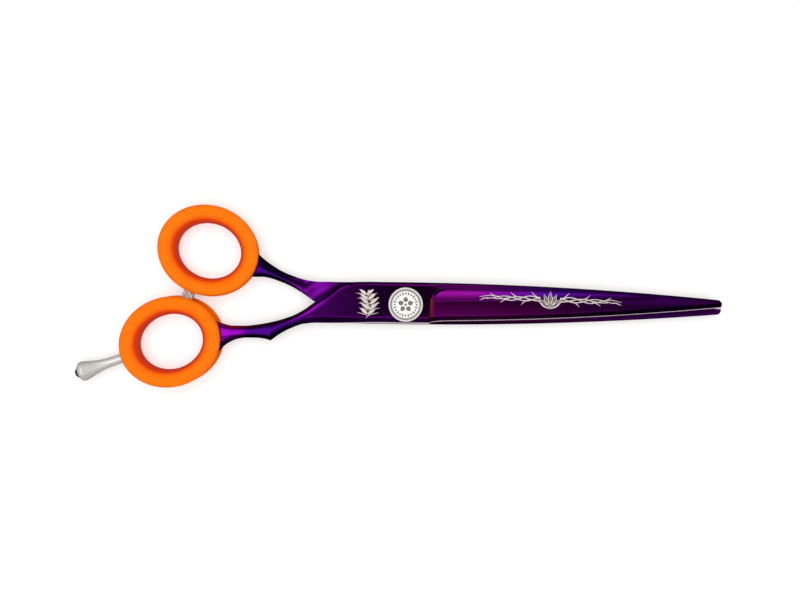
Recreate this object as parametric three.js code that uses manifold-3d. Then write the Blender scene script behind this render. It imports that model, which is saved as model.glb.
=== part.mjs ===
// Hairdressing and grooming shears, closed: two crossed halves on a bolt, each half one forging of
// blade, tang, shank and finger ring, with soft ring inserts, a tension dial and a finger rest.
// Millimetres. X runs from the rings to the blade tips, Z up towards the dial. The pivot axis is
// the Z axis, and z = 0 is the plane that the ring inserts and the bolt's head lie on.
import * as THREE from 'three';
import { mergeVertices } from 'three/addons/utils/BufferGeometryUtils.js';
import Module from 'manifold-3d';

// ---- Driving dimensions --------------------------------------------------------------------
const midPlane = 4.25;          // height of the plane between the halves
const halfGap = 0.025;          // from the mid-plane to each half's inner face
const centreY = 0.4;            // the closed blades are symmetric about this line

const tangThickness = 3;
const tangHalfWidth = 6.75;
const chamferWidth = 1.05;      // along the spine and the crossing edge
const chamferDrop = 0.9;
const rimBevelWidth = 1.9;      // along the tang's other edge
const rimBevelDrop = 1.4;
const rimWidth = 0.3;
const shankBelly = 1.1;         // how far the shanks reach past the mid-plane, beside each other
const bellySpan = 6;            // distance over which they swell to that

const tipX = 101.7;
const tipHalfWidth = 2.25;
const spineCurve = 2;           // power by which the spine falls towards the tip
const edgeCurve = 1.95;         // power by which the cutting edge rises towards the tip
const heelDrop = 0.56;          // how far the cutting edge drops at the shoulder
const heelSpan = 2.5;
const tipCorner = 1.3;
const edgeOffset = 5.6;         // cutting edge to the centre line, at the heel
const shoulderX = 8;            // where the tang ends and the ground blade begins
const shoulderCorner = 4.7;
const shoulderWidth = 0.9;
const fullerEndX = 84;          // the hollow along the blade runs out here
const fullerDepth = 0.9;
const spineThickness = [2.9, 1.4];   // at the pivot and at the tip

const ringTurn = 17 * Math.PI / 180;
const frontRingCentre = new THREE.Vector2(-75.2, -12.9);
const backRingCentre = new THREE.Vector2(-63.3, -15.7);
const holeRadii = [10.4, 8.8];       // finger hole, along and across the oval
const flangeRadii = [16.3, 14.4];    // outer edge of the insert
const insertHeight = 2 * midPlane;
const grooveHeight = 4.6;            // of the slot round the insert that takes the steel ring
const steelRingSpan = [0.28, 0.75];  // between the finger hole (0) and the flange's edge (1)
const steelRingHeight = 4;

const restTurn = 199.3 * Math.PI / 180;
const bumperTurn = 71 * Math.PI / 180;
const bumperRadius = 2;

const dialRadius = 5.5;
const dialTop = 9;
const badgeRadius = 4.3;
const boltRadius = 1.98;
const boltHeadRadius = 4.6;
const boltHeadHeight = 1.2;
const boltSquare = 4.4;
const bearingRadius = 4.3;
const ballRadius = 0.4;
const ballCircle = 3.25;
const ballCount = 8;

// ---- Materials -----------------------------------------------------------------------------
function finish(color, roughness, metalness) {
  return new THREE.MeshStandardMaterial({ color, roughness, metalness });
}
const violetSteel = () => finish(0x3a0a6e, 0.12, 1);
const orangeSilicone = () => finish(0xff7a00, 0.6, 0);
const brightSteel = () => finish(0xc8c8c4, 0.2, 1);
const brass = () => finish(0xb08a3c, 0.35, 1);
const whitePolymer = () => finish(0xe4e2da, 0.5, 0);
const darkStone = () => finish(0x24242a, 0.1, 0);

// ---- Small maths ---------------------------------------------------------------------------
const { lerp, smoothstep } = THREE.MathUtils;

// A smooth y(x) through points in rising x, which never overshoots them.
function curveThrough(points) {
  const slopes = points.slice(1).map(([x, y], i) => (y - points[i][1]) / (x - points[i][0]));
  const tangents = points.map((_, i) => {
    const before = slopes[Math.max(i - 1, 0)];
    const after = slopes[Math.min(i, slopes.length - 1)];
    return before * after > 0 ? 2 * before * after / (before + after) : 0;
  });
  tangents[0] = slopes[0];
  tangents[points.length - 1] = slopes[slopes.length - 1];
  return (x) => {
    let i = 0;
    while (i < points.length - 2 && x > points[i + 1][0]) i++;
    const width = points[i + 1][0] - points[i][0];
    const t = (x - points[i][0]) / width;
    const rise = t * t * (3 - 2 * t);
    return points[i][1] * (1 - rise) + points[i + 1][1] * rise
      + width * t * (1 - t) * ((1 - t) * tangents[i] - t * tangents[i + 1]);
  };
}

// ---- Building and joining solids -----------------------------------------------------------
// A closed body from rings of points: every ring has the same number of points, in the same turn.
function skin(rings, closed) {
  const size = rings[0].length;
  const index = [];
  const count = closed ? rings.length : rings.length - 1;
  for (let i = 0; i < count; i++) {
    const a = i * size;
    const b = ((i + 1) % rings.length) * size;
    for (let j = 0; j < size; j++) {
      const k = (j + 1) % size;
      index.push(a + j, b + j, b + k, a + j, b + k, a + k);
    }
  }
  if (!closed) {
    const last = (rings.length - 1) * size;
    for (const [a, b, c] of capTriangles(rings[0])) index.push(a, b, c);
    for (const [a, b, c] of capTriangles(rings[rings.length - 1])) index.push(last + a, last + c, last + b);
  }
  const geometry = new THREE.BufferGeometry();
  geometry.setAttribute('position', new THREE.Float32BufferAttribute(rings.flat(2), 3));
  geometry.setIndex(index);
  return facingOut(geometry);
}

function capTriangles(ring) {
  const outline = ring.map(([, y, z]) => new THREE.Vector2(y, z));
  const triangles = THREE.ShapeUtils.triangulateShape(outline, []);
  const sameTurn = THREE.ShapeUtils.area(outline) > 0;
  return sameTurn ? triangles : triangles.map(([a, b, c]) => [a, c, b]);
}

function signedVolume(geometry) {
  const p = geometry.attributes.position;
  const corners = [new THREE.Vector3(), new THREE.Vector3(), new THREE.Vector3()];
  let volume = 0;
  for (let i = 0; i < geometry.index.count; i += 3) {
    corners.forEach((corner, j) => corner.fromBufferAttribute(p, geometry.index.getX(i + j)));
    volume += corners[0].dot(corners[1].cross(corners[2])) / 6;
  }
  return volume;
}

function facingOut(geometry) {
  if (signedVolume(geometry) < 0) {
    const index = Array.from(geometry.index.array);
    for (let i = 0; i < index.length; i += 3) [index[i], index[i + 1]] = [index[i + 1], index[i]];
    geometry.setIndex(index);
  }
  return geometry;
}

// A body turned about Z, from a profile of [radius, height].
function turned(profile, segments = 32) {
  const points = profile.map(([radius, height]) => new THREE.Vector2(radius, height));
  return facingOut(new THREE.LatheGeometry(points, segments).rotateX(Math.PI / 2));
}

function rod(radius, bottom, top, segments = 32) {
  return turned([[0, bottom], [radius, bottom], [radius, top], [0, top]], segments);
}

function washer(inner, outer, bottom, top, segments = 32) {
  return turned([[inner, bottom], [outer, bottom], [outer, top], [inner, top], [inner, bottom]], segments);
}

const wasm = await Module();
wasm.setup();

function solid(geometry) {
  const bare = geometry.clone();
  bare.deleteAttribute('normal');
  bare.deleteAttribute('uv');
  const merged = mergeVertices(bare, 1e-5);
  const index = Array.from(merged.index.array);
  const kept = [];
  for (let i = 0; i < index.length; i += 3) {
    const [a, b, c] = index.slice(i, i + 3);
    if (a !== b && b !== c && c !== a) kept.push(a, b, c);
  }
  return new wasm.Manifold(new wasm.Mesh({
    numProp: 3,
    vertProperties: new Float32Array(merged.attributes.position.array),
    triVerts: new Uint32Array(kept),
  }));
}

function surface(manifold) {
  const mesh = manifold.getMesh();
  const geometry = new THREE.BufferGeometry();
  geometry.setAttribute('position', new THREE.Float32BufferAttribute(mesh.vertProperties, 3));
  geometry.setIndex(Array.from(mesh.triVerts));
  return geometry;
}

function piece(name, geometry, material) {
  const mesh = new THREE.Mesh(geometry, material);
  mesh.name = name;
  return mesh;
}

// ---- The halves ----------------------------------------------------------------------------
// Both halves are drawn in one frame, as the front half lies: its cutting edge towards -Y, its
// spine towards +Y, heights measured up from the mid-plane. The back half is then turned over.
const innerFace = halfGap;
const outerFace = halfGap + tangThickness;

const crossing = [[-32.5, -2], [-29.1, 0.4], [-25.5, 2.5], [-20.5, 6.1], [-17, 7], [-12, 7.15]];

const frontShank = {
  spineSide: curveThrough([
    [-63.4, -5.2], [-61.6, -6], [-59.3, -6.7], [-55.6, -7.5], [-51.8, -7.5], [-48, -7.1],
    [-44.1, -6.4], [-40.2, -5.4], [-36.4, -4.1], ...crossing,
  ]),
  beforeCusp: curveThrough([
    [-63.4, -18.6], [-61.5, -17.9], [-60.2, -16.2], [-59.2, -15], [-57.3, -13.3], [-53.8, -11.7],
    [-51, -11.3], [-47.9, -11.3], [-45, -11.6], [-43.2, -12.1],
  ]),
  afterCusp: curveThrough([
    [-43.2, -12.1], [-40.2, -9.9], [-36.4, -7.9], [-32.6, -6.6], [-28, -6.2], [-10, -6.2],
    [shoulderX, -6.15],
  ]),
  start: -63.4,
  rise: [-59.5, -38],
  cuspX: -43.2,
  ringCentre: frontRingCentre,
};

const backShank = {
  spineSide: curveThrough([
    [-51.3, -8.3], [-49.6, -7.5], [-46.1, -7.5], [-44.1, -7.2], [-40.3, -6], [-36.4, -4.3], ...crossing,
  ]),
  afterCusp: curveThrough([
    [-51.3, -20], [-50.2, -18.3], [-49, -16.5], [-47.4, -14.7], [-44.2, -12.05], [-42.3, -10.8],
    [-40.3, -9.6], [-36.5, -8], [-32.6, -6.8], [-28, -6.2], [-10, -6.2], [shoulderX, -6.15],
  ]),
  start: -51.3,
  rise: [-47.5, -31],
  cuspX: -51.3,
  ringCentre: backRingCentre,
};

// Half the closed width over both spines, which falls off towards the tips.
function spineOffset(x) {
  return tangHalfWidth - (tangHalfWidth - tipHalfWidth) * Math.pow(Math.max(x, 0) / tipX, spineCurve);
}

function spineEdge(shank, x) {
  if (x < -12) return shank.spineSide(x);
  const cornerStart = tipX - tipCorner;
  const rounding = x > cornerStart ? tipCorner - Math.sqrt(tipCorner ** 2 - (x - cornerStart) ** 2) : 0;
  return centreY + spineOffset(x) - rounding;
}

function cuttingEdge(shank, x) {
  if (x < shank.cuspX) return shank.beforeCusp(x);
  if (x < shoulderX) return shank.afterCusp(x);
  const heel = heelDrop * Math.exp((shoulderX - x) / heelSpan);
  return centreY - edgeOffset + (edgeOffset - 0.1) * Math.pow(x / tipX, edgeCurve) - heel;
}

// Each section lists its outer face from the cutting side to the spine, and its inner face the
// same way, as rows of [y, z].
const outerRows = 9;
const innerRows = 5;

// A rounded face: its place across the half (-1 to 1) and its share of the full height (0 to 1).
function archRows(count) {
  return Array.from({ length: count }, (_, i) => {
    const across = -Math.cos(Math.PI * i / (count - 1));
    return [across, Math.sqrt(1 - across * across)];
  });
}

function shankRows(shank, x, low, high) {
  const rise = smoothstep(x, ...shank.rise);
  const top = lerp(steelRingHeight / 2, outerFace, rise);
  const bottom = lerp(-steelRingHeight / 2, innerFace - shankBelly, rise);
  const middle = (top + bottom) / 2;
  const wall = 0.15;
  const place = (across) => (low + high) / 2 + across * (high - low) / 2;
  const outer = archRows(outerRows).map(([across, share]) => [
    place(across),
    middle + wall + (top - middle - wall) * share,
  ]);
  const inner = archRows(innerRows).map(([across, share]) => [
    place(across),
    middle - wall - (middle - wall - bottom) * share,
  ]);
  return { outer, inner };
}

function tangRows(x, low, high, slope) {
  const chamfer = chamferWidth * Math.hypot(1, slope);
  const flatLow = low + rimBevelWidth;
  const flatHigh = high - chamfer;
  const flat = [0, 0.25, 0.5, 0.75, 1].map((t) => [lerp(flatLow, flatHigh, t), outerFace]);
  const outer = [
    [low, outerFace - rimBevelDrop - 0.3],
    [low + rimWidth, outerFace - rimBevelDrop],
    ...flat,
    [high - chamfer * 0.3, outerFace - chamferDrop * 0.55],
    [high, outerFace - chamferDrop],
  ];
  return { outer, inner: matingFace(x, low, high) };
}

// The inner face is flat where the halves cross. Behind the crossing it swells past the
// mid-plane as soon as it is clear of the other half's edge, which mirrors this half's own.
function matingFace(x, low, high) {
  const otherEdge = 2 * centreY - (x < -12 ? frontShank.spineSide(x) : high) - 0.3;
  const share = THREE.MathUtils.clamp((otherEdge - low) / (high - low), 0.25, 0.75);
  return [0, share / 2, share, (1 + share) / 2, 1].map((across) => {
    const y = lerp(low, high, across);
    const clearOfOther = 0.77 * (otherEdge - y);
    return [y, innerFace - (x < -12 ? shankBelly * smoothstep(clearOfOther, 0, bellySpan) : 0)];
  });
}

function bladeRows(x, low, high) {
  const along = THREE.MathUtils.clamp(x / tipX, 0, 1);
  const spine = innerFace + lerp(spineThickness[0], spineThickness[1], along);
  const depth = fullerDepth * THREE.MathUtils.clamp(1 - x / fullerEndX, 0, 1);
  const band = lerp(1.6, 0.7, along);
  const fullerHigh = high - Math.min(band, (high - low) * 0.25);
  const fullerLow = lerp(low, high, lerp(0.51, 0.62, along));
  const fuller = [0, 0.4, 0.75, 1].map((t) => [
    lerp(fullerLow, fullerHigh, t),
    spine - depth * (1 - t * t),
  ]);
  const valley = spine - depth;
  const outer = [
    [low, innerFace + 0.12],
    [low + Math.min(0.45, (high - low) * 0.1), innerFace + 0.4],
    [lerp(low, fullerLow, 0.55), innerFace + 0.4 + (valley - innerFace - 0.4) * 0.62],
    ...fuller,
    [high - (high - fullerHigh) * 0.3, spine - 0.25],
    [high, spine - 0.25 - 0.25 * (spine - innerFace)],
  ];
  return { outer, inner: matingFace(x, low, high) };
}

// How far a point lies inside the ground recess, whose corner by the spine is rounded.
function recessDepth(x, y, high) {
  const cornerX = shoulderX + shoulderCorner;
  const cornerY = high - 1.6 - shoulderCorner;
  if (x > cornerX || y < cornerY) return x - shoulderX;
  return shoulderCorner - Math.hypot(x - cornerX, y - cornerY);
}

function mixRows(a, b, weight) {
  return a.map(([y, z], i) => {
    const share = weight(lerp(y, b[i][0], 0.5), i);
    return [lerp(y, b[i][0], share), lerp(z, b[i][1], share)];
  });
}

function halfSection(shank, x) {
  const low = cuttingEdge(shank, x);
  const high = spineEdge(shank, x);
  const slope = (spineEdge(shank, x + 0.1) - spineEdge(shank, x - 0.1)) / 0.2;
  const tang = tangRows(x, low, high, x < 0 ? slope : 0);
  let { outer, inner } = tang;
  if (x < -20) {
    const flatness = smoothstep(x, -36, -24);
    const bar = shankRows(shank, x, low, high);
    outer = mixRows(bar.outer, outer, () => flatness);
    inner = mixRows(bar.inner, inner, () => smoothstep(x, -40, -30));
  }
  if (x > shoulderX) {
    const blade = bladeRows(x, low, high);
    outer = mixRows(outer, blade.outer, (y, i) => (
      i > 6 ? smoothstep(x, shoulderX, shoulderX + 5) : smoothstep(recessDepth(x, y, high), 0, shoulderWidth)
    ));
  }
  return [...outer, ...inner.reverse()].map(([y, z]) => [x, y, z]);
}

function stations(shank) {
  const stretches = [
    [shank.start, shank.cuspX, 10], [shank.cuspX, -30, 8], [-30, -12, 7], [-12, shoulderX, 2],
    [shoulderX, shoulderX + 5, 6], [shoulderX + 5, 95, 9], [95, tipX - tipCorner, 2],
  ];
  const places = [];
  for (const [from, to, count] of stretches) {
    for (let i = 0; i < count && to > from; i++) places.push(lerp(from, to, i / count));
  }
  for (let i = 0; i < 4; i++) places.push(tipX - tipCorner * (1 - Math.sin(i * Math.PI / 8)));
  return places;
}

// A point of the oval that lies a given way from the finger hole (0) to the flange's edge (1).
function ovalPoint(centre, span, angle) {
  const along = lerp(holeRadii[0], flangeRadii[0], span) * Math.cos(angle);
  const across = lerp(holeRadii[1], flangeRadii[1], span) * Math.sin(angle);
  return new THREE.Vector2(along, across).rotateAround(new THREE.Vector2(), ringTurn).add(centre);
}

function ovalSweep(centre, profile, steps = 36) {
  const rings = [];
  for (let i = 0; i < steps; i++) {
    const angle = 2 * Math.PI * i / steps;
    rings.push(profile.map(([span, height]) => {
      const place = ovalPoint(centre, span, angle);
      return [place.x, place.y, height];
    }));
  }
  return skin(rings, true);
}

function steelRing(centre) {
  const [inside, outside] = steelRingSpan;
  const half = steelRingHeight / 2;
  const soft = 0.07;
  const profile = [
    [inside, -half * 0.55], [inside + soft, -half], [outside - soft, -half], [outside, -half * 0.55],
    [outside, half * 0.55], [outside - soft, half], [inside + soft, half], [inside, half * 0.55],
  ];
  return ovalSweep(centre, profile);
}

// A rod that lies in the mid-plane and points away from a ring's centre.
function radialRod(centre, turn, radius, from, to) {
  return rod(radius, from, to, 24)
    .rotateY(Math.PI / 2)
    .rotateZ(turn)
    .translate(centre.x, centre.y, 0);
}

function forging(shank) {
  const sections = stations(shank).map((x) => halfSection(shank, x));
  return solid(skin(sections, false)).add(solid(steelRing(shank.ringCentre)));
}

function frontHalf() {
  const bushingBore = solid(rod(2.75, -1, 4));
  const bearingSeat = solid(rod(bearingRadius + 0.1, outerFace - 1.4, outerFace + 1));
  const restHole = solid(radialRod(frontRingCentre, restTurn, 1, 10, 17));
  const bumperHole = solid(radialRod(frontRingCentre, bumperTurn, 0.85, 9, 16));
  return surface(forging(frontShank).subtract(bushingBore).subtract(bearingSeat)
    .subtract(restHole).subtract(bumperHole));
}

function backHalf() {
  const squareHole = solid(new THREE.BoxGeometry(boltSquare + 0.2, boltSquare + 0.2, 10)
    .translate(0, 2 * centreY, 0));
  const washerSeat = solid(rod(4.5, -1, innerFace + 0.38).translate(0, 2 * centreY, 0));
  return surface(forging(backShank).subtract(squareHole).subtract(washerSeat));
}

function ringInsert(centre) {
  const half = insertHeight / 2;
  const groove = grooveHeight / 2;
  const lip = [
    [0, 0.4 * half], [0.08, 0.72 * half], [0.24, 0.93 * half], [0.5, half], [0.8, 0.96 * half],
    [0.95, 0.85 * half], [1, 0.7 * half], [0.96, groove],
  ];
  const upper = [...lip, [0.24, groove]];
  const lower = upper.map(([span, height]) => [span, -height]).reverse();
  return ovalSweep(centre, [...upper, ...lower]);
}

// ---- Pivot, from the back to the front -------------------------------------------------------
function pivotBolt() {
  const edge = 0.25;
  const head = turned([
    [0, 0], [boltHeadRadius - edge, 0], [boltHeadRadius, edge], [boltHeadRadius, boltHeadHeight],
    [0, boltHeadHeight],
  ]);
  const neckTop = 3.75;
  const neck = new THREE.BoxGeometry(boltSquare, boltSquare, neckTop - 1).translate(0, 0, (neckTop + 1) / 2);
  const shankTop = 8.55;
  const flats = new THREE.BoxGeometry(2 * boltRadius + 1, 3.2, 3).translate(0, 0, shankTop - 0.5);
  const threadedEnd = solid(rod(boltRadius - 0.08, 7, shankTop)).intersect(solid(flats));
  let bolt = solid(head).add(solid(neck)).add(solid(rod(boltRadius, neckTop - 0.1, 7.01))).add(threadedEnd);
  for (const side of [-1, 1]) {
    const spannerHole = rod(0.5, -1, 0.7, 16).translate(side * 2.8, 0, 0);
    bolt = bolt.subtract(solid(spannerHole));
  }
  return surface(bolt);
}

function bearingCage() {
  const plate = new THREE.Shape().absarc(0, 0, bearingRadius - 0.15, 0, 2 * Math.PI);
  plate.holes.push(new THREE.Path().absarc(0, 0, 2.3, 0, 2 * Math.PI, true));
  for (let i = 0; i < ballCount; i++) {
    const angle = 2 * Math.PI * i / ballCount;
    const pocket = new THREE.Path();
    pocket.absarc(ballCircle * Math.cos(angle), ballCircle * Math.sin(angle), ballRadius + 0.06, 0, 2 * Math.PI, true);
    plate.holes.push(pocket);
  }
  return new THREE.ExtrudeGeometry(plate, { depth: 0.3, bevelEnabled: false, curveSegments: 7 });
}

function clickSpring() {
  const arms = 3;
  const leaf = new THREE.Shape();
  for (let i = 0; i < 12 * arms; i++) {
    const angle = 2 * Math.PI * i / (12 * arms);
    const reach = 3.1 + 0.6 * Math.cos(arms * angle);
    if (i === 0) leaf.moveTo(reach, 0);
    else leaf.lineTo(reach * Math.cos(angle), reach * Math.sin(angle));
  }
  leaf.closePath();
  const keyAngle = Math.asin(1.7 / 2.05);
  const keyed = new THREE.Path();
  keyed.absarc(0, 0, 2.05, keyAngle, -keyAngle, true);
  keyed.absarc(0, 0, 2.05, Math.PI + keyAngle, Math.PI - keyAngle, true);
  leaf.holes.push(keyed);
  return new THREE.ExtrudeGeometry(leaf, { depth: 0.22, bevelEnabled: false, curveSegments: 10 });
}

function tensionDial() {
  const teeth = 24;
  const bottom = 7.33;
  const geometry = turned([
    [2, bottom + 0.5], [3.95, bottom + 0.5], [3.95, bottom], [dialRadius - 0.3, bottom],
    [dialRadius, bottom + 0.3], [dialRadius, dialTop - 0.3], [dialRadius - 0.35, dialTop],
    [badgeRadius + 0.1, dialTop], [badgeRadius + 0.1, dialTop - 0.35], [2, dialTop - 0.35], [2, bottom + 0.5],
  ], 2 * teeth);
  const p = geometry.attributes.position;
  for (let i = 0; i < p.count; i++) {
    const radius = Math.hypot(p.getX(i), p.getY(i));
    const step = Math.round(Math.atan2(p.getY(i), p.getX(i)) / (Math.PI / teeth));
    const share = radius > dialRadius - 0.05 && step % 2 !== 0 ? 1 - 0.15 / dialRadius : 1;
    p.setXY(i, p.getX(i) * share, p.getY(i) * share);
  }
  return geometry;
}

// ---- Finger rest and bumper, drawn along +Z from the ring's centre --------------------------
function fingerRest() {
  return turned([
    [0, 29.9], [2.1, 30.5], [2.1, 31.2], [2.4, 31.2], [2.8, 30.85], [3.1, 30.2], [3.15, 29.4],
    [2.75, 28], [2.2, 25.9], [1.8, 23.8], [1.55, 21.3], [1.5, 15.35], [1, 15.35], [1, 19.2], [0, 19.5],
  ], 24);
}

function fingerRestGem() {
  return turned([[0, 30.1], [1.95, 31], [1.95, 31.35], [1.15, 32.4], [0, 32.55]], 8);
}

function bumperSeat() {
  return turned([
    [0, 12.5], [0.75, 12.5], [0.75, 14.1], [bumperRadius - 0.25, 14.1], [bumperRadius, 14.4],
    [bumperRadius, 16.9], [bumperRadius - 0.3, 17.3], [0.6, 17.3], [0.6, 16.6], [0, 16.6],
  ], 24);
}

function bumperPad() {
  return turned([
    [0, 16.7], [0.5, 16.7], [0.5, 17.35], [1.55, 17.35], [1.5, 17.9], [1, 18.3], [0, 18.4],
  ], 24);
}

function radialGroup(centre, turn, ...pieces) {
  const group = new THREE.Group();
  group.position.set(centre.x, centre.y, 0);
  group.rotation.set(0, Math.PI / 2, turn, 'ZYX');
  group.add(...pieces);
  return group;
}

// ---- Assembly ------------------------------------------------------------------------------
const shears = new THREE.Group();

const front = new THREE.Group();
front.position.z = midPlane;
front.add(
  piece('front_half', frontHalf(), violetSteel()),
  piece('front_ring_insert', ringInsert(frontRingCentre), orangeSilicone()),
  radialGroup(
    frontRingCentre, restTurn,
    piece('finger_rest_stud', rod(0.9, 12.4, 19, 24), brightSteel()),
    piece('finger_rest', fingerRest(), brightSteel()),
    piece('finger_rest_gem', fingerRestGem(), darkStone()),
  ),
  radialGroup(
    frontRingCentre, bumperTurn,
    piece('bumper_seat', bumperSeat(), brightSteel()),
    piece('bumper_pad', bumperPad(), whitePolymer()),
  ),
);

const back = new THREE.Group();
back.position.set(0, 2 * centreY, midPlane);
back.rotation.x = Math.PI;
back.add(
  piece('back_half', backHalf(), violetSteel()),
  piece('back_ring_insert', ringInsert(backRingCentre), orangeSilicone()),
);

const pivot = new THREE.Group();
const raceBottom = midPlane + outerFace - 1.36;
const raceHeight = 0.22;
const ballCentreZ = raceBottom + raceHeight + 0.02 + ballRadius;
pivot.add(
  piece('pivot_bolt', pivotBolt(), brightSteel()),
  piece('ride_washer', washer(2.05, 4.4, midPlane - halfGap - 0.35, midPlane), whitePolymer()),
  piece('pivot_bushing', washer(2.05, 2.7, midPlane + halfGap, raceBottom - 0.05), brass()),
  piece('race_lower', washer(2.15, bearingRadius, raceBottom, raceBottom + raceHeight), brightSteel()),
  piece('race_upper', washer(2.15, bearingRadius, ballCentreZ + ballRadius + 0.02,
    ballCentreZ + ballRadius + 0.02 + raceHeight), brightSteel()),
  piece('tension_dial', tensionDial(), brightSteel()),
  piece('dial_badge', turned([[0, 8.68], [badgeRadius, 8.68], [badgeRadius, 8.98], [0, 9.05]]), brightSteel()),
);
const cage = piece('bearing_cage', bearingCage(), brass());
cage.position.z = ballCentreZ - 0.15;
const spring = piece('click_spring', clickSpring(), brightSteel());
spring.position.z = 7.42;
pivot.add(cage, spring);
for (let i = 0; i < ballCount; i++) {
  const angle = 2 * Math.PI * i / ballCount;
  const ball = piece(`bearing_ball_${i + 1}`, new THREE.SphereGeometry(ballRadius, 8, 6), brightSteel());
  ball.position.set(ballCircle * Math.cos(angle), ballCircle * Math.sin(angle), ballCentreZ);
  pivot.add(ball);
}

shears.add(front, back, pivot);
export default shears;
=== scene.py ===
"""Looks for hairdressing and grooming shears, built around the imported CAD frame: polished violet
steel halves, soft orange ring inserts, a satin tension dial and a satin finger rest.
Shapes are worked out in millimetres in the CAD part's own frame, and go into Blender in metres."""
import math

import bpy
import numpy as np
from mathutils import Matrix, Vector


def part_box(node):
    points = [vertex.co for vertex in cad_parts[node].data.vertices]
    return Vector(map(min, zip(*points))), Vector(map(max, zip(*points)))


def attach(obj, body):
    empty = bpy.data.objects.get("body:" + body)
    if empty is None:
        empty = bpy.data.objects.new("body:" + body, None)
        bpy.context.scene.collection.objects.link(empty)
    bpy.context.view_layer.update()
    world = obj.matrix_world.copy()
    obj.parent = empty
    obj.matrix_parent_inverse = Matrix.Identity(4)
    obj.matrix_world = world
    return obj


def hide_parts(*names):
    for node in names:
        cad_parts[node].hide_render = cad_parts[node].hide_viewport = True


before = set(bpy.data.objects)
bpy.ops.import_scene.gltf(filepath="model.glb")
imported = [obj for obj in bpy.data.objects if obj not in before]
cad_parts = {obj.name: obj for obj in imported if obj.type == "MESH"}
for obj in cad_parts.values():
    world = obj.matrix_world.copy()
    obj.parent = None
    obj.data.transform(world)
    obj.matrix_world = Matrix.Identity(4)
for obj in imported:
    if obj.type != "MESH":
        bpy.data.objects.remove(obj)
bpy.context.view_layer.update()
MM = 0.001


# ---- Places read from the frame ------------------------------------------------------------
def box_mm(node):
    low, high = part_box(node)
    return np.array(low) / MM, np.array(high) / MM


def centre_mm(node):
    low, high = box_mm(node)
    return (low + high) / 2


FRONT_RING = centre_mm("front_ring_insert")
BACK_RING = centre_mm("back_ring_insert")
MID_PLANE = FRONT_RING[2]
INSERT_HEIGHT = box_mm("front_ring_insert")[1][2]
TIP_X = box_mm("front_half")[1][0]
OUTER_FACE = box_mm("front_half")[1][2] - MID_PLANE
DIAL_LOW, DIAL_HIGH = box_mm("tension_dial")

# ---- Dimensions shared with the CAD part ---------------------------------------------------
CENTRE_Y = 0.4
INNER_FACE = 0.025
TANG_HALF_WIDTH = 6.75
CHAMFER_WIDTH = 1.05
CHAMFER_DROP = 0.9
CHAMFER_KNEE = 0.7  # share of the chamfer's width at which it steepens
CHAMFER_KNEE_DROP = 0.55  # share of its drop that is reached there
RIM_BEVEL_WIDTH = 1.9
RIM_BEVEL_DROP = 1.4
RIM_WIDTH = 0.3
TIP_HALF_WIDTH = 2.25
HEEL_DROP = 0.56
HEEL_SPAN = 2.5
TIP_CORNER = 1.3
EDGE_OFFSET = 5.6
EDGE_AT_TIP = 0.1
EDGE_CURVE = 1.95
SPINE_CURVE = 2
SHOULDER_X = 8.0
SHOULDER_CORNER = 4.7
SHOULDER_WIDTH = 0.9
FULLER_END_X = 84.0
FULLER_DEPTH = 0.9
FULLER_START = (0.51, 0.62)  # share of the blade's width, at the heel and at the tip
EDGE_LAND = 0.12  # thickness at the very edge
SPINE_BAND = (1.6, 0.7)  # width of the band above the fuller, at the heel and at the tip
SPINE_BAND_DROP = 0.25
SPINE_THICKNESS = (2.9, 1.4)
SHANK_BELLY = 1.1
BELLY_SPAN = 6.0
RING_TURN = math.radians(17)
HOLE_RADII = np.array([10.4, 8.8])
FLANGE_RADII = np.array([16.3, 14.4])
GROOVE = 2.3
STEEL_RING_SPAN = (0.28, 0.75)
STEEL_RING_HALF = 2.0
REST_TURN = math.radians(199.3)
BUMPER_TURN = math.radians(71)
FRONT_BORE = 2.75
BEARING_SEAT_RADIUS = 4.4
BEARING_SEAT_DEPTH = 1.4

# ---- Dimensions of the finish, which the CAD part lacks or draws more plainly --------------
FULLER_FADE = 1.6  # power by which the fuller's depth fades towards its end
EDGE_BEVEL_SLOPE = 0.85
FACET_START = (0.70, 0.90)  # share of the valley's height at the edge, at the heel and at the tip
FACET_SWELL = 0.10
HONED_WIDTH = 0.7
HOLLOW_GRIND = 0.2
BACK_BORE = 3.2  # round, and wide enough for the bolt's square neck
DIAL_NOTCHES = 44

DETAIL = 1.0


def count(full):
    return max(int(full * DETAIL), 2)


# ---- Small maths ---------------------------------------------------------------------------
def lerp(a, b, t):
    return a + (b - a) * t


def smoothstep(x, low, high):
    t = np.clip((x - low) / (high - low), 0, 1)
    return t * t * (3 - 2 * t)


def smooth_min(a, b, softness):
    return (a + b - np.sqrt((a - b) ** 2 + softness ** 2)) / 2


def curve_through(points):
    """A smooth y(x) through points in rising x, which never overshoots them."""
    xs, ys = np.array(points, float).T
    slopes = np.diff(ys) / np.diff(xs)
    tangents = np.concatenate([slopes[:1], np.zeros(len(xs) - 2), slopes[-1:]])
    for i in range(1, len(xs) - 1):
        before, after = slopes[i - 1], slopes[i]
        if before * after > 0:
            tangents[i] = 2 * before * after / (before + after)

    def at(x):
        i = int(np.clip(np.searchsorted(xs, x) - 1, 0, len(xs) - 2))
        width = xs[i + 1] - xs[i]
        t = (x - xs[i]) / width
        rise = t * t * (3 - 2 * t)
        bend = (1 - t) * tangents[i] - t * tangents[i + 1]
        return ys[i] * (1 - rise) + ys[i + 1] * rise + width * t * (1 - t) * bend

    return at


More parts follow.
